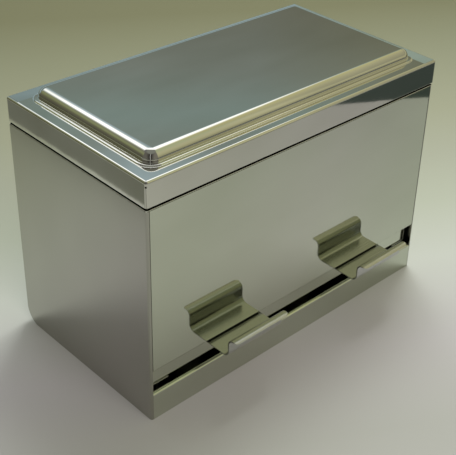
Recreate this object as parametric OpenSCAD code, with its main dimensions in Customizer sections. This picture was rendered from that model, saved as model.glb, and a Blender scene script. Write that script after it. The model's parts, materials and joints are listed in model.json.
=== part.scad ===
// Chopstick box folded from polished stainless steel sheet.
// A pressed lid lifts off a hopper. A sloping floor inside lets the chopsticks roll down to a
// shallow drawer, which slides out below the front panel on two S-shaped finger tabs.
// Millimetres. The origin is the middle of the footprint, +Z is up and the front faces -Y.

/* [Body] */
// Width across the outside of the side panels
body_w = 274; // [240:1:320]
// Depth from the front panel to the back
body_d = 147; // [135:1:180]
// Height of the body walls
wall_h = 165.9; // [150:0.1:190]
// Thickness of the sheet of every panel
sheet = 0.8; // [0.6:0.1:1]
// Outer radius of the bend from the base up to the back
back_bend_r = 13; // [6:0.5:20]
// Outer radius of the curled front edge of a side panel
curl_r = 1.6; // [1.5:0.1:2.5]
// Flat lip after that curl
curl_lip = 0.4; // [0.2:0.1:1]
// Open seam between the curled edges and the front panel
seam = 0.4; // [0.2:0.1:0.8]
// Inner radius of an ordinary sheet bend
bend_r = 0.8; // [0.4:0.1:1.2]

/* [Front] */
// Height of the front panel's lower edge
panel_low = 40.9; // [36:0.1:46]
// Depth of the stiffening hem turned in at that edge
panel_hem = 5.6; // [4:0.1:6]
// Height of the rail below the drawer
rail_top = 21.7; // [14:0.1:24]
// Depth of the hem turned in along the rail's top
rail_hem = 3.1; // [2.5:0.1:3.4]
// Height of the base's weld flange behind the rail
weld_flange_h = 9; // [5:0.5:12]
// Leg of the angle in each front corner
angle_leg = 12; // [8:0.5:16]

/* [Lid] */
// How far the lid stands out past the body all round
lid_over = 0.5; // [0.4:0.1:1]
// Open line between the lid's skirt and the body's shoulder
lid_gap = 1.5; // [0.8:0.1:2]
// Height of the lid's skirt
skirt_h = 18.4; // [12:0.1:25]
// Outer radius of the fold from the lid's rim to its skirt
rim_fold_r = 1.8; // [1.5:0.1:3]
// Distance from the lid's edge to the small pressed step
step_in = 9.6; // [7:0.1:10.4]
// Height of that step
step_h = 0.9; // [0.5:0.1:1.5]
// Distance from the lid's edge to the foot of the raised field
field_in = 12.9; // [11:0.1:14]
// Height of the raised field above the rim
field_h = 8; // [7.5:0.1:16]
// How far the raised field's walls lean in
field_draft = 0.6; // [0.4:0.1:2]
// Inner radius of the raised field's top edge
field_edge_r = 5.6; // [3:0.1:6]
// Distance from the lid's edge to the centres of the pressed corners
corner_in = 21; // [20.6:0.1:26]
// Side of the square relief at the top of each corner seam of the skirt
relief = 1.2; // [0.8:0.1:2]

/* [Collar] */
// Depth of the collar that is tucked inside the walls
collar_tuck = 12; // [8:0.5:18]
// Thickness of the rounded shoulder on top of the walls
shoulder_t = 1.2; // [0.8:0.1:1.6]

/* [Hopper] */
// Height at which the sloping floor meets the back
ramp_back_z = 94; // [80:1:110]
// Height of the floor's weld flange on the back
ramp_flange = 18; // [10:1:24]
// Level landing at the floor's lower end
ramp_land = 8; // [6:0.5:12]
// Clearance between the landing and the level of the front panel's edge
ramp_clear = 1; // [0.5:0.1:2]
// Inner radius of the floor's bend at the back
ramp_back_r = 4; // [2:0.5:8]
// Inner radius of the floor's bend at the landing
ramp_land_r = 8; // [4:0.5:12]

/* [Drawer] */
// How far the drawer's front lies behind the front panel
setback = 5; // [4:0.1:6]
// Depth of the tray from front to back
tray_d = 45; // [35:0.5:50]
// Gap between a drawer end and the side panel beside it
side_gap = 3.7; // [3.2:0.1:5]
// How far the drawer slides out
travel = 45; // [30:0.5:48]
// Height of the drawer's underside above the rail
run_gap = 3; // [0.5:0.1:4]
// Width of the flange that slides on a runner
slide_flange = 14; // [11:0.5:18]
// Inner radius of the tight bend between that flange and the drawer end
end_bend_r = 0.2; // [0.1:0.1:0.6]

/* [Finger tabs] */
// Distance from an end of the tray to the tab beside it
tab_inset = 41.5; // [26:0.5:60]
// How far the pair of tabs sits to the right of the middle
tab_shift = 3.5; // [0:0.1:6]
// Width of a tab
tab_w = 50; // [30:0.5:60]
// How far a tab stands out from the front panel
tab_out = 27.5; // [25:0.1:34]
// Gap between the front panel's edge and the tab's tongue
tongue_gap = 1.1; // [1:0.1:2.5]
// How far the lip's outer edge reaches past its riser
lip_reach = 7.5; // [6.5:0.1:10]
// Height of the lip's crest above the tongue
lip_rise = 15.2; // [13:0.1:20]
// Inner radius of the bend from the tongue up to the riser
lip_r = 4.6; // [3:0.1:5]
// Inner radius of the bend over the lip's crest
crest_r = 3.8; // [2:0.1:4.5]
// Slope at which the lip's outer edge droops
droop_angle = 22; // [10:1:30]
// Radius of the lip's two outer corners
lip_corner_r = 3; // [1:0.5:6]
// Length of the weld flange inside the tray
tab_flange = 9; // [6:0.5:11]

/* [Runners and stops] */
// Thickness of the runner and stop sheet
runner_sheet = 1.2; // [1:0.1:1.5]
// Width of a runner's foot
runner_foot = 12; // [8:0.5:16]
// Width of a runner's sliding face
runner_face = 11; // [9:0.5:14]
// Height of the guide lip above the sliding face
guide_lip = 9; // [5:0.5:12]
// Distance from the rail back to the runner's front end
runner_in = 8; // [2:0.5:12]
// Length of a runner
runner_len = 88; // [82:1:96]
// Sideways play between a drawer end and its guide lip
guide_play = 0.8; // [0.5:0.1:1]
// Distance between the centres of the two stops
stop_spacing = 120; // [60:1:160]
// Width of a stop
stop_w = 20; // [10:1:30]
// Length of a stop's foot
stop_foot = 18; // [10:1:30]
// Height of a stop
stop_h = 32; // [28:0.5:33]

/* [Hidden] */
$fn = 48;
// Gap left between sheets that are spot welded together
weld_gap = 0.05;
// Gap at a seat or a stop between pieces that move apart
seat_gap = 0.25;
// Straight pieces in a quarter turn of a bend of 1 mm radius, with more in a wider bend
bend_steps = 3;

half_w = body_w / 2;
half_d = body_d / 2;
front_y = -half_d;
back_y = half_d;
inner_x = half_w - sheet;
inner_front = front_y + sheet;
inner_back = back_y - sheet;
curl_in = curl_r + curl_lip;
panel_half = half_w - curl_in - seam;
rail_half = half_w - curl_in - weld_gap;

lid_w = body_w + 2 * lid_over;
lid_d = body_d + 2 * lid_over;
skirt_z = wall_h + shoulder_t + lid_gap;
rim_z = skirt_z + skirt_h;
field_z = rim_z + field_h;
// The collar's outer top edge meets the inside of the lid's fold
fold_in = rim_fold_r - sheet;
neck_in = max(0, rim_fold_r - lid_over - sheet - weld_gap);
collar_top = rim_z - rim_fold_r + sqrt(fold_in * fold_in - neck_in * neck_in) - seat_gap;

drawer_y = front_y + setback;
tray_back_y = drawer_y + tray_d;
drawer_half = inner_x - side_gap;
drawer_low = rail_top + run_gap;
tray_low = drawer_low + sheet + weld_gap;
tongue_z = panel_low - tongue_gap;
tab_under = tongue_z - sheet;
front_wall_top = tab_under - bend_r - 2 * weld_gap;
shutter_top = tongue_z - sheet;
tray_half = drawer_half - sheet - end_bend_r;
rear_wall_top = shutter_top - sheet - bend_r - weld_gap;

stop_y = tray_back_y + weld_gap + sheet + seat_gap;
shutter_back_y = stop_y + runner_sheet + seat_gap + travel + sheet;

// Direction helpers for the folded profiles
function unit(v) = v / norm(v);
function left_of(v) = [-v[1], v[0]];
function last(list) = list[len(list) - 1];
function reversed(list) = [for (i = [len(list) - 1 : -1 : 0]) list[i]];

// One face of a bend at p, on the path from a to b, as points along its arc
function bend_face(a, p, b, inner_r, t, side) =
    let (
        u = unit(p - a),
        v = unit(b - p),
        hand = sign(cross(u, v)),
        turn = acos(u * v),
        mid_r = inner_r + t / 2,
        centre = p - u * mid_r * tan(turn / 2) + left_of(u) * hand * mid_r,
        start = atan2(-hand * left_of(u)[1], -hand * left_of(u)[0]),
        face_r = mid_r - side * hand * t / 2,
        steps = ceil(bend_steps * sqrt(mid_r) * turn / 90)
    )
    [for (k = [0 : steps])
        let (angle = start + hand * turn * k / steps)
        centre + face_r * [cos(angle), sin(angle)]];

// One whole face of a folded sheet: its two ends and every bend between them
function sheet_face(path, radii, t, side) =
    concat(
        [path[0] + side * t / 2 * left_of(unit(path[1] - path[0]))],
        [for (i = [1 : len(path) - 2])
            each bend_face(path[i - 1], path[i], path[i + 1], radii[i - 1], t, side)],
        [last(path) + side * t / 2 * left_of(unit(last(path) - path[len(path) - 2]))]
    );

// Section of a sheet of thickness t, folded along the middle line of a path
module folded(path, radii, t = sheet) {
    polygon(concat(sheet_face(path, radii, t, 1), reversed(sheet_face(path, radii, t, -1))));
}

// A (y, z) section drawn out along X, and an (x, z) section drawn out along Y
module along_x(from, to) {
    translate([from, 0, 0]) rotate([90, 0, 90]) linear_extrude(to - from) children();
}
module along_y(from, to) {
    translate([0, to, 0]) rotate([90, 0, 0]) linear_extrude(to - from) children();
}

// A section in (distance from the edge, z) led round a rectangle with rounded corners
// At a corner it is kept on the outer side of the axis that it turns about
module round_frame(w, d, corner) {
    for (turn = [0, 180]) {
        rotate([0, 0, turn])
            along_x(corner - w / 2, w / 2 - corner) translate([-d / 2, 0]) children();
        rotate([0, 0, turn])
            along_y(corner - d / 2, d / 2 - corner) translate([-w / 2, 0]) children();
    }
    for (quarter = [0 : 3]) {
        sx = quarter == 0 || quarter == 3 ? 1 : -1;
        sy = quarter < 2 ? 1 : -1;
        translate([sx * (w / 2 - corner), sy * (d / 2 - corner), 0])
            rotate([0, 0, 90 * quarter])
                rotate_extrude(angle = 90) intersection() {
                    translate([corner, 0]) mirror([1, 0]) children();
                    square([corner, 2 * field_z]);
                }
    }
}

// Rectangle with rounded corners, from plain squares and circles
module round_rect(w, d, r) {
    square([w - 2 * r, d], center = true);
    square([w, d - 2 * r], center = true);
    for (sx = [-1, 1], sy = [-1, 1])
        translate([sx * (w / 2 - r), sy * (d / 2 - r)]) circle(r);
}

// Front panel with its lower edge hemmed inwards
module front_panel() {
    mid_y = front_y + sheet / 2;
    low = panel_low + sheet / 2;
    color("#b4b3a6") along_x(-panel_half, panel_half)
        folded([[front_y + panel_hem, low], [mid_y, low], [mid_y, wall_h]], [bend_r]);
}

// Outline of a side panel seen from the side, round at the foot of the back
module side_outline() {
    difference() {
        translate([front_y, 0]) square([body_d, wall_h]);
        translate([back_y - back_bend_r, 0]) square(back_bend_r);
    }
    intersection() {
        translate([back_y - back_bend_r, back_bend_r]) circle(back_bend_r);
        translate([back_y - back_bend_r, 0]) square(back_bend_r);
    }
}

// Side panel with its front edge curled round the corner
module side_panel(side) {
    mid_x = side * (half_w - sheet / 2);
    mid_y = front_y + sheet / 2;
    lip_x = side * (half_w - curl_in);
    color("#a3a59b") intersection() {
        linear_extrude(wall_h)
            folded([[mid_x, back_y], [mid_x, mid_y], [lip_x, mid_y]], [curl_r - sheet]);
        along_x(-half_w, half_w) side_outline();
    }
}

// Base and back in one sheet, with a weld flange turned up behind the rail
// The flange's corners are notched to clear the curled edges of the side panels
module base_and_back() {
    flange_y = inner_front + weld_gap + sheet / 2;
    base_z = sheet / 2;
    mid_back = back_y - sheet / 2;
    half = inner_x - weld_gap;
    color("#9c9e95") difference() {
        along_x(-half, half)
            folded(
                [[flange_y, weld_flange_h], [flange_y, base_z],
                 [mid_back, base_z], [mid_back, wall_h]],
                [bend_r, back_bend_r - sheet]
            );
        for (side = [-1, 1])
            translate([side * half_w, front_y, wall_h / 2])
                cube([2 * curl_in, 2 * curl_in, 2 * wall_h], center = true);
    }
}

// Rail below the drawer, hemmed along its top
module front_rail() {
    mid_y = front_y + sheet / 2;
    top = rail_top - sheet / 2;
    color("#b4b3a6") along_x(-rail_half, rail_half)
        folded([[front_y + rail_hem, top], [mid_y, top], [mid_y, 0]], [bend_r]);
}

// Angle that joins a side panel to the front panel from inside
module corner_angle(side) {
    leg_x = side * (inner_x - weld_gap - sheet / 2);
    leg_y = inner_front + weld_gap + sheet / 2;
    low = panel_low + 2 * sheet;
    high = wall_h - collar_tuck - sheet;
    color("#8f918a") translate([0, 0, low]) linear_extrude(high - low)
        folded(
            [[leg_x, leg_y + angle_leg], [leg_x, leg_y], [leg_x - side * angle_leg, leg_y]],
            [bend_r + curl_r - sheet]
        );
}

// Collar section in (distance out from the wall's inner face, z)
module collar_neck() {
    translate([-weld_gap - sheet, wall_h - collar_tuck])
        square([sheet, collar_top - wall_h + collar_tuck]);
}
module collar_shoulder() {
    round_r = shoulder_t / 2;
    translate([-weld_gap - sheet / 2, wall_h])
        square([sheet * 1.5 + weld_gap - round_r, shoulder_t]);
    translate([sheet - round_r, wall_h + round_r]) circle(round_r);
}

// Collar bar across the front or the back, with the shoulder run out to the corners
module cross_collar(side) {
    neck_half = half_w - curl_in;
    edge = side < 0 ? inner_front : inner_back;
    color("#b9bbb2") {
        along_x(-neck_half, neck_half) translate([edge, 0]) scale([side, 1]) collar_neck();
        intersection() {
            along_x(-half_w, half_w) translate([edge, 0]) scale([side, 1]) collar_shoulder();
            linear_extrude(rim_z) round_rect(body_w, body_d, curl_r);
        }
    }
}

// Collar bar along a side, between the two cross bars
module side_collar(side) {
    neck_end = half_d - 2 * sheet - 2 * weld_gap;
    color("#b9bbb2") {
        along_y(-neck_end, neck_end) translate([side * inner_x, 0]) scale([side, 1]) collar_neck();
        along_y(-neck_end, neck_end)
            translate([side * inner_x, 0]) scale([side, 1]) collar_shoulder();
    }
}

// Sloping floor of the hopper, welded to the back and ending above the tray's rear edge
module hopper_floor() {
    back = inner_back - weld_gap - sheet / 2;
    toe_y = tray_back_y + 2 * sheet;
    land_z = panel_low + ramp_clear + sheet / 2;
    half = inner_x - 2 * weld_gap;
    color("#8f918a") along_x(-half, half)
        folded(
            [[back, ramp_back_z + ramp_flange], [back, ramp_back_z],
             [toe_y + ramp_land, land_z], [toe_y, land_z]],
            [ramp_back_r, ramp_land_r]
        );
}

// Runner with a foot on the base, a sliding face and a lip that guides the drawer's end
module runner(side) {
    foot_z = sheet + weld_gap + runner_sheet / 2;
    face_z = drawer_low - seat_gap - runner_sheet / 2;
    lip_x = drawer_half + guide_play + runner_sheet / 2;
    web_x = lip_x - runner_face;
    from = front_y + rail_hem + runner_in;
    color("#868881") along_y(from, from + runner_len) scale([side, 1])
        folded(
            [[web_x - runner_foot, foot_z], [web_x, foot_z], [web_x, face_z],
             [lip_x, face_z], [lip_x, face_z + guide_lip]],
            [bend_r, bend_r, bend_r],
            runner_sheet
        );
}

// Angle on the base that stops the drawer at both ends of its travel
module drawer_stop(side) {
    foot_z = sheet + weld_gap + runner_sheet / 2;
    mid_y = stop_y + runner_sheet / 2;
    mid_x = side * stop_spacing / 2;
    color("#868881") along_x(mid_x - stop_w / 2, mid_x + stop_w / 2)
        folded([[mid_y + stop_foot, foot_z], [mid_y, foot_z], [mid_y, stop_h]], [bend_r], runner_sheet);
}

// Tray folded from one sheet: front wall, floor and rear wall
module drawer_tray() {
    front = drawer_y + sheet / 2;
    rear = tray_back_y - sheet / 2;
    floor_z = tray_low + sheet / 2;
    color("#aaaba0") along_x(-tray_half, tray_half)
        folded(
            [[front, front_wall_top], [front, floor_z], [rear, floor_z], [rear, rear_wall_top]],
            [bend_r, bend_r]
        );
}

// End of the drawer, with the flange that slides on the runner
module drawer_end(side) {
    flange_z = drawer_low + sheet / 2;
    mid_x = drawer_half - sheet / 2;
    color("#a0a198") along_y(drawer_y, shutter_back_y) scale([side, 1])
        folded([[mid_x - slide_flange, flange_z], [mid_x, flange_z], [mid_x, shutter_top]], [end_bend_r]);
}

// Plate behind the tray that closes the hopper's mouth while the drawer is out
module shutter_plate() {
    fore = tray_back_y + weld_gap + sheet / 2;
    aft = shutter_back_y - sheet / 2;
    top = shutter_top - sheet / 2;
    color("#9a9c93") along_x(-tray_half, tray_half)
        folded(
            [[fore, top - tab_flange], [fore, top], [aft, top], [aft, top - tab_flange]],
            [bend_r, bend_r]
        );
}

// Finger tab: weld flange, tongue under the front panel, riser and a lip that droops at its edge
module pull_tab(side) {
    flange_y = drawer_y + sheet + weld_gap + sheet / 2;
    tongue_mid = tongue_z - sheet / 2;
    riser_y = front_y - tab_out + lip_reach;
    tip_y = front_y - tab_out + sheet / 2 * sin(droop_angle);
    crest_bend = (crest_r + sheet / 2) * tan((90 + droop_angle) / 2);
    fold_z = tongue_z + lip_rise - sheet - crest_r + crest_bend;
    tip_z = fold_z - (riser_y - tip_y) * tan(droop_angle);
    mid_x = side * (tray_half - tab_inset - tab_w / 2) + tab_shift;
    plan_d = 2 * (tab_out + setback);
    color("#b3b29c") intersection() {
        along_x(mid_x - tab_w / 2, mid_x + tab_w / 2)
            folded(
                [[flange_y, tongue_mid - tab_flange], [flange_y, tongue_mid],
                 [riser_y, tongue_mid], [riser_y, fold_z], [tip_y, tip_z]],
                [bend_r, lip_r, crest_r]
            );
        translate([mid_x, front_y - tab_out + plan_d / 2, 0])
            linear_extrude(wall_h) round_rect(tab_w, plan_d, lip_corner_r);
    }
}

// Skirt and folded edge of the lid, in (distance from the edge, z), with a rounded lower edge
module skirt_section() {
    translate([0, skirt_z + sheet / 2]) square([sheet, skirt_h - rim_fold_r - sheet / 2]);
    translate([sheet / 2, skirt_z + sheet / 2]) circle(sheet / 2);
    intersection() {
        translate([rim_fold_r, rim_z - rim_fold_r]) difference() {
            circle(rim_fold_r);
            circle(rim_fold_r - sheet);
        }
        translate([0, rim_z - rim_fold_r]) square(rim_fold_r);
    }
}

// Pressed step and raised field, from the rim to the flat top
module field_section() {
    rim_mid = rim_z - sheet / 2;
    step_mid = rim_mid + step_h;
    top_mid = field_z - sheet / 2;
    folded(
        [[step_in - 2 * sheet, rim_mid], [step_in, rim_mid], [step_in + step_h, step_mid],
         [field_in + sheet / 2, step_mid], [field_in + sheet / 2 + field_draft, top_mid],
         [corner_in, top_mid]],
        [bend_r / 2, bend_r / 2, bend_r / 2, field_edge_r]
    );
}

// Butt seams of the skirt at the lid's corners, each with a square relief at its top
module corner_seams() {
    across = 4 * rim_fold_r;
    seam_top = skirt_h - 2 * rim_fold_r;
    for (sx = [-1, 1], sy = [-1, 1])
        translate([sx * lid_w / 2, sy * lid_d / 2, skirt_z])
            rotate([0, 0, 45 * sx * sy]) {
                cube([across, seam / 2, 2 * seam_top], center = true);
                translate([0, 0, seam_top]) cube([across, relief, relief], center = true);
            }
}

// Flat rim between the skirt's fold and the pressed step
module flat_rim() {
    hole_in = step_in - sheet;
    translate([0, 0, rim_z - sheet]) linear_extrude(sheet) difference() {
        square([lid_w - 2 * rim_fold_r, lid_d - 2 * rim_fold_r], center = true);
        round_rect(lid_w - 2 * hole_in, lid_d - 2 * hole_in, corner_in - hole_in);
    }
}

// Lid pressed from one sheet: skirt, flat rim, step and raised field
module lid_shell() {
    color("#adb0a8") difference() {
        union() {
            round_frame(lid_w, lid_d, rim_fold_r) skirt_section();
            flat_rim();
            round_frame(lid_w, lid_d, corner_in) field_section();
            translate([0, 0, field_z - sheet]) linear_extrude(sheet)
                square([lid_w - 2 * corner_in, lid_d - 2 * corner_in], center = true);
        }
        corner_seams();
    }
}

front_panel();
side_panel(-1);  // left_side_panel
side_panel(1);  // right_side_panel
base_and_back();
front_rail();
corner_angle(-1);  // left_corner_angle
corner_angle(1);  // right_corner_angle
cross_collar(-1);  // collar_front
cross_collar(1);  // collar_back
side_collar(-1);  // collar_left
side_collar(1);  // collar_right
hopper_floor();
runner(-1);  // left_runner
runner(1);  // right_runner
drawer_stop(-1);  // left_stop
drawer_stop(1);  // right_stop
drawer_tray();
drawer_end(-1);  // drawer_left_end
drawer_end(1);  // drawer_right_end
shutter_plate();
pull_tab(-1);  // left_pull_tab
pull_tab(1);  // right_pull_tab
lid_shell();
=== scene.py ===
# %% [markdown]
# # A chopstick box in polished stainless steel
# The box is folded from thin steel sheet. A pressed lid lifts off a hopper, and a shallow drawer
# slides out below the front panel on two S-shaped finger tabs.
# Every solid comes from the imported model, in metres, with the front towards -Y and +Z up.
# Here the sheets get their bends smoothed and their finishes, and then a floor, light and a camera.

# %% Load the solids
import json
from math import cos, radians, sin

import bpy
from mathutils import Matrix, Vector

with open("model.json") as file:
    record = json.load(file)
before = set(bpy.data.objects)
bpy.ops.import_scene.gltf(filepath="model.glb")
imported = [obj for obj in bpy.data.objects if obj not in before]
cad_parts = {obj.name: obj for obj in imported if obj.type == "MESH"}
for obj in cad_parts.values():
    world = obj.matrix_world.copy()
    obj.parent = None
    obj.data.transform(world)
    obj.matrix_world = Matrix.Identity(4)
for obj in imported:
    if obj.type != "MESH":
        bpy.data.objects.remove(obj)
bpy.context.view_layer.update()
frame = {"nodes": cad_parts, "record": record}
NODES = frame["nodes"]

# %% [markdown]
# ## Camera
# The photograph looks down on the left front corner of the lid from about 0.8 m.
# The angles, the lens and the shift come from a fit of the lid's and the body's edges to the picture.
# A camera could be aimed at the box by eye, but a mirror-like object shows every degree of error,
# because the reflections move twice as fast as the surfaces.

# %% Camera at the photograph's angle
PHOTO_WIDTH, PHOTO_HEIGHT = 456, 455
FOCAL_PIXELS = 1020.4
AXIS_X, AXIS_Y = 275.2, 191.8
AZIMUTH, ELEVATION, ROLL = radians(-46.279), radians(31.262), radians(-2.963)
EYE = Vector((-0.4505, -0.4773, 0.4922))

back = Vector((sin(AZIMUTH) * cos(ELEVATION), -cos(AZIMUTH) * cos(ELEVATION), sin(ELEVATION)))
level = Vector((0, 0, 1)).cross(back).normalized()
upright = back.cross(level)
right = cos(ROLL) * level - sin(ROLL) * upright
up = sin(ROLL) * level + cos(ROLL) * upright

lens = bpy.data.cameras.new("camera")
lens.sensor_width = 36
lens.lens = lens.sensor_width * FOCAL_PIXELS / PHOTO_WIDTH
lens.shift_x = (PHOTO_WIDTH / 2 - AXIS_X) / PHOTO_WIDTH
lens.shift_y = (AXIS_Y - PHOTO_HEIGHT / 2) / PHOTO_WIDTH
camera = bpy.data.objects.new("camera", lens)
camera.matrix_world = Matrix.Translation(EYE) @ Matrix((right, up, back)).transposed().to_4x4()
bpy.context.scene.collection.objects.link(camera)
bpy.context.scene.camera = camera
bpy.context.scene.view_settings.view_transform = "Standard"
print(f"camera: {lens.lens:.1f} mm lens, {EYE.length:.2f} m from the box's foot")

# %% [markdown]
# ## Two small helpers
# Colours are written as sRGB hex values, as a paint program shows them, and shaders work in linear light.
# One function does that change. Another adds a node to a tree with its settings and its links,
# which keeps each material down to a list of what it is made of.

# %% Colour and node helpers
def linear(hex_colour):
    """A colour such as #d4d3cb, as linear red, green, blue and alpha."""
    srgb = [int(hex_colour[i:i + 2], 16) / 255 for i in (1, 3, 5)]
    return [c / 12.92 if c <= 0.04045 else ((c + 0.055) / 1.055) ** 2.4 for c in srgb] + [1]


def add(tree, kind, inputs=(), stops=(), **settings):
    """Adds a node to a tree. An input is given a value, or another node's output to link to.
    The stops are those of a colour ramp, each a place from 0 to 1 and a hex colour."""
    made = tree.nodes.new(kind)
    for name, value in settings.items():
        setattr(made, name, value)
    for name, value in dict(inputs).items():
        if isinstance(value, bpy.types.NodeSocket):
            tree.links.new(value, made.inputs[name])
        else:
            made.inputs[name].default_value = value
    for i, (place, colour) in enumerate(stops):
        elements = made.color_ramp.elements
        stop = elements[i] if i < len(elements) else elements.new(place)
        stop.position, stop.color = place, linear(colour)
    return made


# %% [markdown]
# ## Light
# Polished steel has hardly any colour of its own: it shows the room. A picture of a room could be wrapped
# around the box, but here the room is a tent, drawn as gradients over the direction that a ray leaves in.
# In the far half is a bright window. Low down it is a dim grey-green, which is what the flat top of the lid
# reflects. Above that comes a roof: white to the left, for the left edges of the lid, and golden to the
# right, for the front edges. The near half is plain cloth, dark where the camera stands, with a thin glint.

# %% Directions in the tent
world = bpy.data.worlds.new("light tent")
bpy.context.scene.world = world
world.use_nodes = True
tent = world.node_tree
tent.nodes.clear()
leaving = add(tent, "ShaderNodeTexCoord").outputs["Generated"]
axes = add(tent, "ShaderNodeSeparateXYZ", {"Vector": leaving}).outputs
to_right = add(tent, "ShaderNodeMath", {0: axes["X"], 1: axes["Y"]}, operation="SUBTRACT").outputs["Value"]
to_back = add(tent, "ShaderNodeMath", {0: axes["X"], 1: axes["Y"]}, operation="ADD").outputs["Value"]
sideways = add(tent, "ShaderNodeMath", {
    0: axes["Y"], 1: -0.3, 2: axes["X"]}, operation="MULTIPLY_ADD").outputs["Value"]
print("tent: rays are sorted by height, to the right and to the back")

# %% [markdown]
# ### Cloths around the box
# The rolled edges of the lid mirror a wide arc of the room. The left edges run through the cloth at the left,
# which is dim, and the front edges through the cloth in front, which is warm.
# One colour for each would look like paint, so both change with height.

# %% Left and front cloth
left_cloth = add(tent, "ShaderNodeValToRGB", {"Fac": axes["Z"]}, [
    (0.00, "#5c5950"), (0.25, "#6c6c57"), (0.50, "#979d74"), (0.68, "#8a8b78"), (0.80, "#77757a")])
front_cloth = add(tent, "ShaderNodeValToRGB", {"Fac": axes["Z"]}, [
    (0.00, "#a5a286"), (0.30, "#cac79f"), (0.55, "#d0cdaa"), (0.80, "#c4cba4")])
to_front = add(tent, "ShaderNodeMapRange", {
    "Value": to_right, "From Min": -0.2, "From Max": 0.3}).outputs["Result"]
cloth = add(tent, "ShaderNodeMix", {
    "Factor": to_front, "A": left_cloth.outputs["Color"], "B": front_cloth.outputs["Color"]}, data_type="RGBA")
print("tent: two cloths")

# %% [markdown]
# ### Far half
# The flat top of the lid mirrors only a narrow band of the far wall, so the wall's tones lie close together
# in height, and turn olive to the right. Past the window it is the front cloth again.
# The roof starts lower to the right, where the front edges of the lid are seen at a flatter angle.

# %% Far wall and roof
wall = add(tent, "ShaderNodeValToRGB", {"Fac": axes["Z"]}, [
    (0.27, "#a2b8bf"), (0.31, "#8c9fa1"), (0.34, "#74766b"), (0.365, "#787b70"), (0.415, "#848c85"),
    (0.455, "#8b9d99"), (0.482, "#8c9893"), (0.518, "#b3c8d2"), (0.59, "#b9c8ce")])
olive = add(tent, "ShaderNodeMapRange", {
    "Value": to_right, "From Min": 0.0, "From Max": 0.25}).outputs["Result"]
wall = add(tent, "ShaderNodeMix", {
    "Factor": olive, "A": wall.outputs["Color"], "B": linear("#fff8e0")},
    data_type="RGBA", blend_type="MULTIPLY")
past_window = add(tent, "ShaderNodeMapRange", {
    "Value": to_right, "From Min": 0.40, "From Max": 0.60}).outputs["Result"]
wall = add(tent, "ShaderNodeMix", {
    "Factor": past_window, "A": wall.outputs["Result"], "B": front_cloth.outputs["Color"]}, data_type="RGBA")
warmth = add(tent, "ShaderNodeMapRange", {
    "Value": sideways, "From Min": 0.48, "From Max": 0.9}).outputs["Result"]
roof = add(tent, "ShaderNodeValToRGB", {"Fac": warmth}, [
    (0.00, "#fbfdff"), (0.12, "#fafaf2"), (0.28, "#e0dba2"), (0.60, "#cfcba4"), (1.00, "#b5b396")])
eaves = add(tent, "ShaderNodeMapRange", {
    "Value": to_right, "From Min": 0.05, "From Max": 1.0, "To Min": 0.0, "To Max": 0.30}).outputs["Result"]
height = add(tent, "ShaderNodeMath", {0: axes["Z"], 1: eaves}, operation="ADD").outputs["Value"]
under_roof = add(tent, "ShaderNodeMapRange", {
    "Value": height, "From Min": 0.57, "From Max": 0.66}).outputs["Result"]
far_half = add(tent, "ShaderNodeMix", {
    "Factor": under_roof, "A": wall.outputs["Result"], "B": roof.outputs["Color"]}, data_type="RGBA")
print("tent: far wall and roof")

# %% [markdown]
# ### Near half
# The rounded corner of the lid looks back at the camera. The room is dark there, and one thin glint keeps the
# corner from looking like a hole. Straight above, the tent is plain grey, for the lid seen from over it.

# %% Camera side and the tent above
from_left = add(tent, "ShaderNodeMapRange", {
    "Value": axes["X"], "From Min": 0.48, "From Max": 0.36}).outputs["Result"]
from_front = add(tent, "ShaderNodeMapRange", {
    "Value": axes["Y"], "From Min": 0.48, "From Max": 0.36}).outputs["Result"]
from_camera = add(tent, "ShaderNodeMath", {0: from_left, 1: from_front}, operation="MULTIPLY").outputs["Value"]
across = add(tent, "ShaderNodeMapRange", {
    "Value": to_right, "From Min": -1.0, "From Max": 1.0}).outputs["Result"]
camera_side = add(tent, "ShaderNodeValToRGB", {"Fac": across}, [
    (0.10, "#6f6d66"), (0.40, "#403e3b"), (0.47, "#403e3b"), (0.50, "#ffffff"), (0.53, "#403e3b"),
    (0.60, "#403e3b"), (0.90, "#85827a")])
near_half = add(tent, "ShaderNodeMix", {
    "Factor": from_camera, "A": cloth.outputs["Result"], "B": camera_side.outputs["Color"]}, data_type="RGBA")
overhead = add(tent, "ShaderNodeMapRange", {
    "Value": axes["Z"], "From Min": 0.80, "From Max": 0.92}).outputs["Result"]
near_half = add(tent, "ShaderNodeMix", {
    "Factor": overhead, "A": near_half.outputs["Result"], "B": linear("#8f918a")}, data_type="RGBA")
print("tent: camera side and top")

# %% [markdown]
# ### Window
# The far half shows through a window that is wider to the right. Its roof is brighter than the rest at the
# left, where the photograph's highlights are white, and a little dimmer at the right, where they are golden.

# %% Join the halves
widening = add(tent, "ShaderNodeMapRange", {
    "Value": axes["X"], "From Min": 0.52, "From Max": 0.75, "To Min": 0.0, "To Max": 0.8}).outputs["Result"]
inside = add(tent, "ShaderNodeMath", {0: to_back, 1: widening}, operation="ADD").outputs["Value"]
window = add(tent, "ShaderNodeMapRange", {
    "Value": inside, "From Min": 0.45, "From Max": 0.70}).outputs["Result"]
shade = add(tent, "ShaderNodeMix", {
    "Factor": window, "A": near_half.outputs["Result"], "B": far_half.outputs["Result"]}, data_type="RGBA")
lit = add(tent, "ShaderNodeMath", {0: window, 1: under_roof}, operation="MULTIPLY").outputs["Value"]
brightest = add(tent, "ShaderNodeMapRange", {
    "Value": sideways, "From Min": 0.50, "From Max": 0.58, "To Min": 1.9, "To Max": 0.85}).outputs["Result"]
strength = add(tent, "ShaderNodeMix", {"Factor": lit, "A": 1.0, "B": brightest}, data_type="FLOAT")
glow = add(tent, "ShaderNodeBackground", {
    "Color": shade.outputs["Result"], "Strength": strength.outputs["Result"]})
add(tent, "ShaderNodeOutputWorld", {"Surface": glow.outputs["Background"]})
print("tent:", len(tent.nodes), "nodes")

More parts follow.
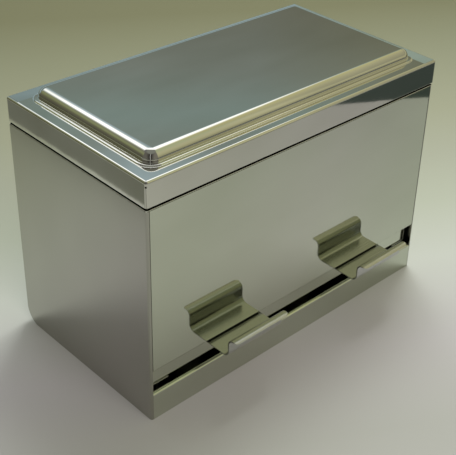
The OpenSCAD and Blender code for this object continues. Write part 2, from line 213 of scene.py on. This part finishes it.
# %% [markdown]
# ## Lamps and cards
# A soft lamp at the back right gives the shadow on the floor its direction, and a larger one at the front
# fills it. They are kept out of the reflections, which the tent draws alone.
# Photographers lay black and grey cards beside polished metal, so that a face mirrors something darker than
# the floor. Here one gives the right end of the lid's skirt its deep tone, and the other shades the skirt's
# left side. Only reflections see them.

# %% Lamps and cards
AIM = Vector((0, 0, 0.1))
# For each lamp: its place and width in metres, its watts and its colour.
LAMPS = {
    "key_lamp": ((0.58, 0.36, 1.45), 0.6, 13.5, "#ffffff"),
    "fill_lamp": ((-0.40, -1.25, 1.20), 1.4, 15.5, "#fff4f0"),
}
for name, (place, size, watts, colour) in LAMPS.items():
    panel = bpy.data.lights.new(name, "AREA")
    panel.size, panel.energy, panel.color = size, watts, linear(colour)[:3]
    lamp = bpy.data.objects.new(name, panel)
    lamp.location = place
    lamp.rotation_euler = (AIM - lamp.location).to_track_quat("-Z", "Y").to_euler()
    lamp.visible_glossy = False
    bpy.context.scene.collection.objects.link(lamp)
print(len(LAMPS), "lamps")


def flat_stage(name, corners, height):
    """A flat stage piece on the floor, from its corners in metres."""
    mesh = bpy.data.meshes.new(name)
    mesh.from_pydata([(x, y, height) for x, y in corners], [], [range(len(corners))])
    piece = bpy.data.objects.new(name, mesh)
    bpy.context.scene.collection.objects.link(piece)
    return piece


CARD_HEIGHT = 0.0005
CARDS = {
    "black_card": ("#36403e", [
        (0.300, -0.325), (0.35, -0.296), (0.402, -0.266), (0.42, -0.250), (0.43, -0.236),
        (0.56, -0.21), (0.56, -0.40)]),
    "grey_card": ("#74776d", [(-0.46, 0.08), (-0.304, 0.08), (-0.304, 0.46), (-0.46, 0.46)]),
}
for name, (colour, corners) in CARDS.items():
    card = flat_stage(name, corners, CARD_HEIGHT)
    card.visible_camera = card.visible_diffuse = card.visible_shadow = False
    matte = bpy.data.materials.new(name)
    matte.use_nodes = True
    surface = matte.node_tree.nodes["Principled BSDF"]
    surface.inputs["Base Color"].default_value = linear(colour)
    surface.inputs["Roughness"].default_value = 0.9
    card.data.materials.append(matte)
print(len(CARDS), "cards")

# %% [markdown]
# ## Floor
# The box stands on pale paper. Its tone is painted darker and more olive towards the back, as painted falloff
# of the light. The steel mirrors it, so its colour is also most of the colour of the front and the sides.
# A large plain sheet with a gradient along the view is enough. To the right it is dimmer where the steel
# mirrors it, as a screen held over that part of the paper would make it.

# %% Paper floor
FLOOR_HALF = 12.0
floor_corners = [(x * FLOOR_HALF, y * FLOOR_HALF) for x, y in ((-1, -1), (1, -1), (1, 1), (-1, 1))]
floor = flat_stage("paper_floor", floor_corners, 0)
paper = bpy.data.materials.new("matte_paper")
paper.use_nodes = True
tree = paper.node_tree
place = add(tree, "ShaderNodeTexCoord").outputs["Object"]
spot = add(tree, "ShaderNodeSeparateXYZ", {"Vector": place}).outputs
depth = add(tree, "ShaderNodeMath", {
    0: spot["X"], 1: 0.6, 2: spot["Y"]}, operation="MULTIPLY_ADD").outputs["Value"]
far = add(tree, "ShaderNodeMapRange", {"Value": depth, "From Min": -0.2, "From Max": 0.8}).outputs["Result"]
# Painted light: the paper's tone darkens and turns olive towards the back, as falloff of the light.
paper_with_painted_falloff = add(tree, "ShaderNodeValToRGB", {"Fac": far}, [
    (0.00, "#afb2ac"), (0.10, "#bbbbba"), (0.22, "#bfc4bb"), (0.32, "#b1b7a7"), (0.42, "#a6aa99"),
    (0.53, "#9da08a"), (0.73, "#8c8f77"), (0.89, "#7d7e63")])
surface = tree.nodes["Principled BSDF"]
surface.inputs["Roughness"].default_value = 0.9
surface.inputs["Specular IOR Level"].default_value = 0.1
mirrored = add(tree, "ShaderNodeMapRange", {
    "Value": spot["X"], "From Min": 0.02, "From Max": 0.32, "To Min": 1.0, "To Max": 0.72}).outputs["Result"]
seen_in_steel = add(tree, "ShaderNodeLightPath").outputs["Is Glossy Ray"]
dimming = add(tree, "ShaderNodeMix", {"Factor": seen_in_steel, "A": 1.0, "B": mirrored}, data_type="FLOAT")
shown = add(tree, "ShaderNodeMix", {
    "Factor": 1.0, "A": paper_with_painted_falloff.outputs["Color"], "B": dimming.outputs["Result"]},
    data_type="RGBA", blend_type="MULTIPLY")
tree.links.new(shown.outputs["Result"], surface.inputs["Base Color"])
floor.data.materials.append(paper)
print("floor:", 2 * FLOOR_HALF, "m across")

# %% [markdown]
# ## Smooth bends
# The solids come as flat facets, a few to each bend. On painted parts that hardly shows, but a mirror
# breaks into stripes. Subdividing would bend the flat panels too. So the facets stay, and only the
# direction that each corner faces is changed: edges under 35 degrees are smoothed, and the large flat
# faces decide the direction at the ends of a bend, so that the panels still reflect as flat mirrors.

# %% Smooth the bends of every sheet
SMOOTH_BELOW = radians(35)
JOIN_WITHIN = 1e-6

bends = bpy.data.node_groups.new("smooth bends", "GeometryNodeTree")
bends.interface.new_socket("Geometry", in_out="INPUT", socket_type="NodeSocketGeometry")
bends.interface.new_socket("Geometry", in_out="OUTPUT", socket_type="NodeSocketGeometry")
sheet_in = add(bends, "NodeGroupInput")
joined = add(bends, "GeometryNodeMergeByDistance", {
    "Geometry": sheet_in.outputs["Geometry"], "Distance": JOIN_WITHIN})
plain = add(bends, "GeometryNodeRemoveAttribute", {
    "Geometry": joined.outputs["Geometry"], "Name": "custom_normal"})
faces = add(bends, "GeometryNodeSetShadeSmooth", {
    "Geometry": plain.outputs["Geometry"], "Shade Smooth": True}, domain="FACE")
angle = add(bends, "GeometryNodeInputMeshEdgeAngle")
gentle = add(bends, "FunctionNodeCompare", {
    "A": angle.outputs["Unsigned Angle"], "B": SMOOTH_BELOW}, operation="LESS_THAN")
edges = add(bends, "GeometryNodeSetShadeSmooth", {
    "Geometry": faces.outputs["Geometry"], "Shade Smooth": gentle.outputs["Result"]}, domain="EDGE")
add(bends, "NodeGroupOutput", {"Geometry": edges.outputs["Geometry"]})

for sheet in NODES.values():
    sheet.modifiers.new("smooth bends", "NODES").node_group = bends
    flats = sheet.modifiers.new("flat faces lead", "WEIGHTED_NORMAL")
    flats.keep_sharp = True
    flats.weight = 100
print("smoothed the bends of", len(NODES), "sheets")

# %% [markdown]
# ## Stainless steel sheet
# The whole box is stainless steel, and its sheets differ only in how far they were polished.
# Polishing leaves hairlines in one direction, soft clouds where the wheel pressed harder, and a sheet
# that is never quite flat. The eye reads the clouds as a faint haze and the unevenness as a slow
# wobble in the reflections. A picture of scratches would show its seams on a mirror, so the material is a
# metal with noise at two sizes laid over it.
# Real hairlines are about 0.02 mm wide, much finer than a pixel. They are drawn about 1 mm wide here.

# %% Sheet steel material
MM = 0.001
HAIRLINE_LENGTH = 90 * MM
CLOUD_WIDTH, CLOUD_LENGTH = 45 * MM, 110 * MM
SWAY_DEPTH, HAIRLINE_DEPTH = 1 * MM, 0.01 * MM
# The right and back rims of the lid lie past these places, above this height.
RIM_X, RIM_Y, RIM_TOP = 124.8 * MM, 61.3 * MM, 186.8 * MM


def sheet_steel(name, light, dark, roughness, haze, grain, line_mm, wave, gap_shade_band=None, sag=0):
    """A stainless sheet, coloured light to dark in clouds. haze is the roughness that lines and clouds
    add, grain is the axis that the buffing lines follow, and wave is how much the sheet undulates.
    The band before sag is the lowest and highest point of a line painted dark, as painted shade in the gap
    under the lid's edge. sag is the slope of a rim that hangs a little."""
    steel = bpy.data.materials.new(name)
    steel.use_nodes = True
    tree = steel.node_tree
    surface = tree.nodes["Principled BSDF"]
    surface.inputs["Metallic"].default_value = 1
    place = add(tree, "ShaderNodeTexCoord").outputs["Object"]

    line_scale = [1 / (line_mm * MM)] * 3
    line_scale[grain] = 1 / HAIRLINE_LENGTH
    along = add(tree, "ShaderNodeMapping", {"Vector": place, "Scale": line_scale})
    lines = add(tree, "ShaderNodeTexNoise", {"Vector": along.outputs["Vector"], "Scale": 1, "Detail": 3})
    cloud_scale = [1 / CLOUD_WIDTH] * 3
    cloud_scale[grain] = 1 / CLOUD_LENGTH
    across = add(tree, "ShaderNodeMapping", {"Vector": place, "Scale": cloud_scale})
    clouds = add(tree, "ShaderNodeTexNoise", {"Vector": across.outputs["Vector"], "Scale": 1, "Detail": 2})

    colour = add(tree, "ShaderNodeValToRGB", {"Fac": clouds.outputs["Fac"]}, [(0.3, dark), (0.7, light)])
    colour = colour.outputs["Color"]
    spot = add(tree, "ShaderNodeSeparateXYZ", {"Vector": place}).outputs
    # Painted shade: the base colour turns near black in this band, for the shaded gap under the lid.
    if gap_shade_band:
        lowest, highest = gap_shade_band
        gap_shade = add(tree, "ShaderNodeMath", {
            0: spot["Z"], 1: (lowest + highest) / 2, 2: (highest - lowest) / 2}, operation="COMPARE")
        colour = add(tree, "ShaderNodeMix", {
            "Factor": gap_shade.outputs["Value"], "A": colour, "B": linear("#191a18")}, data_type="RGBA")
        colour = colour.outputs["Result"]
    tree.links.new(colour, surface.inputs["Base Color"])

    mixed = add(tree, "ShaderNodeMath", {
        0: lines.outputs["Fac"], 1: clouds.outputs["Fac"]}, operation="MULTIPLY")
    gloss = add(tree, "ShaderNodeMapRange", {
        "Value": mixed.outputs["Value"], "From Min": 0.1, "From Max": 0.45,
        "To Min": roughness, "To Max": roughness + haze})
    tree.links.new(gloss.outputs["Result"], surface.inputs["Roughness"])

    sway = add(tree, "ShaderNodeBump", {
        "Height": clouds.outputs["Fac"], "Strength": wave, "Distance": SWAY_DEPTH})
    hair = add(tree, "ShaderNodeBump", {
        "Height": lines.outputs["Fac"], "Strength": wave, "Distance": HAIRLINE_DEPTH,
        "Normal": sway.outputs["Normal"]})
    normal = hair.outputs["Normal"]
    if sag:
        past_x = add(tree, "ShaderNodeMath", {0: spot["X"], 1: RIM_X}, operation="SUBTRACT").outputs["Value"]
        past_y = add(tree, "ShaderNodeMath", {0: spot["Y"], 1: RIM_Y}, operation="SUBTRACT").outputs["Value"]
        past = add(tree, "ShaderNodeMath", {0: past_x, 1: past_y}, operation="MAXIMUM").outputs["Value"]
        on_top = add(tree, "ShaderNodeMath", {
            0: spot["Z"], 1: RIM_TOP}, operation="GREATER_THAN").outputs["Value"]
        slope = add(tree, "ShaderNodeMath", {0: past, 1: 0.0}, operation="MAXIMUM").outputs["Value"]
        drop = add(tree, "ShaderNodeMath", {0: slope, 1: on_top}, operation="MULTIPLY").outputs["Value"]
        normal = add(tree, "ShaderNodeBump", {
            "Height": drop, "Strength": 1, "Distance": sag, "Normal": normal}, invert=True).outputs["Normal"]
    tree.links.new(normal, surface.inputs["Normal"])
    return steel


print("clouds of", CLOUD_WIDTH, "by", CLOUD_LENGTH, "m")

# %% [markdown]
# ## Finishes
# The front, the rail and the tray are mirror polished, and the lid a little further. The tabs are only buffed,
# the sides and the back are satin, and what is inside stays as it left the mill.
# One shiny steel for all would be simpler, but the eye tells the pieces apart by how sharply they mirror.

# %% Finish of every sheet
X, Y, Z = range(3)
finishes = {
    # Polished with soft wheels. The eye gets a clear mirror with a faint haze.
    "mirror_polished_stainless": sheet_steel(
        "mirror_polished_stainless", "#cdd1c3", "#c7cbbc", 0.035, 0.03, X, 1.2, 0.04),
    # Polished after pressing. It mirrors more sharply, and its right and back rims hang a little.
    "mirror_polished_lid": sheet_steel(
        "mirror_polished_lid", "#dad9d3", "#cbcac1", 0.03, 0.03, X, 1.2, 0.05, sag=0.08),
    # Painted shade: a dark band on the neck, where it shows in the gap under the lid's edge.
    "polished_collar_with_painted_gap_shade": sheet_steel(
        "polished_collar_with_painted_gap_shade", "#d6d5ce", "#cfcec5", 0.035, 0.03, X, 1.2, 0.04,
        gap_shade_band=(166.8 * MM, 170.0 * MM)),
    # Buffed by hand. Light and dark run softly around the bends.
    "buffed_stainless": sheet_steel("buffed_stainless", "#c3c4c1", "#b7b8b4", 0.22, 0.06, X, 0.8, 0.05),
    # Ground with fine grit, up and down. The floor shows in it only as a soft gradient.
    "satin_polished_stainless": sheet_steel(
        "satin_polished_stainless", "#b3b2aa", "#adaca4", 0.17, 0.04, Z, 0.8, 0.04),
    # As it was rolled. A dull grey that only tells light from dark.
    "mill_rolled_stainless": sheet_steel(
        "mill_rolled_stainless", "#c2c2ba", "#b6b6ad", 0.32, 0.12, X, 0.8, 0.05),
}
wears = {
    "polished_stainless": "mirror_polished_stainless",
    "satin_stainless": "satin_polished_stainless",
    "mill_stainless": "mill_rolled_stainless",
}
special = {
    "lid_shell": "mirror_polished_lid",
    "left_pull_tab": "buffed_stainless",
    "right_pull_tab": "buffed_stainless",
    "collar_front": "polished_collar_with_painted_gap_shade",
    "collar_back": "polished_collar_with_painted_gap_shade",
    "collar_left": "polished_collar_with_painted_gap_shade",
    "collar_right": "polished_collar_with_painted_gap_shade",
}
for part in frame["record"]["subparts"]:
    slots = NODES[part["node"]].material_slots
    slots[0].material = finishes[special.get(part["node"], wears[part["material_slot"]])]
    print(part["node"], "is", slots[0].material.name)
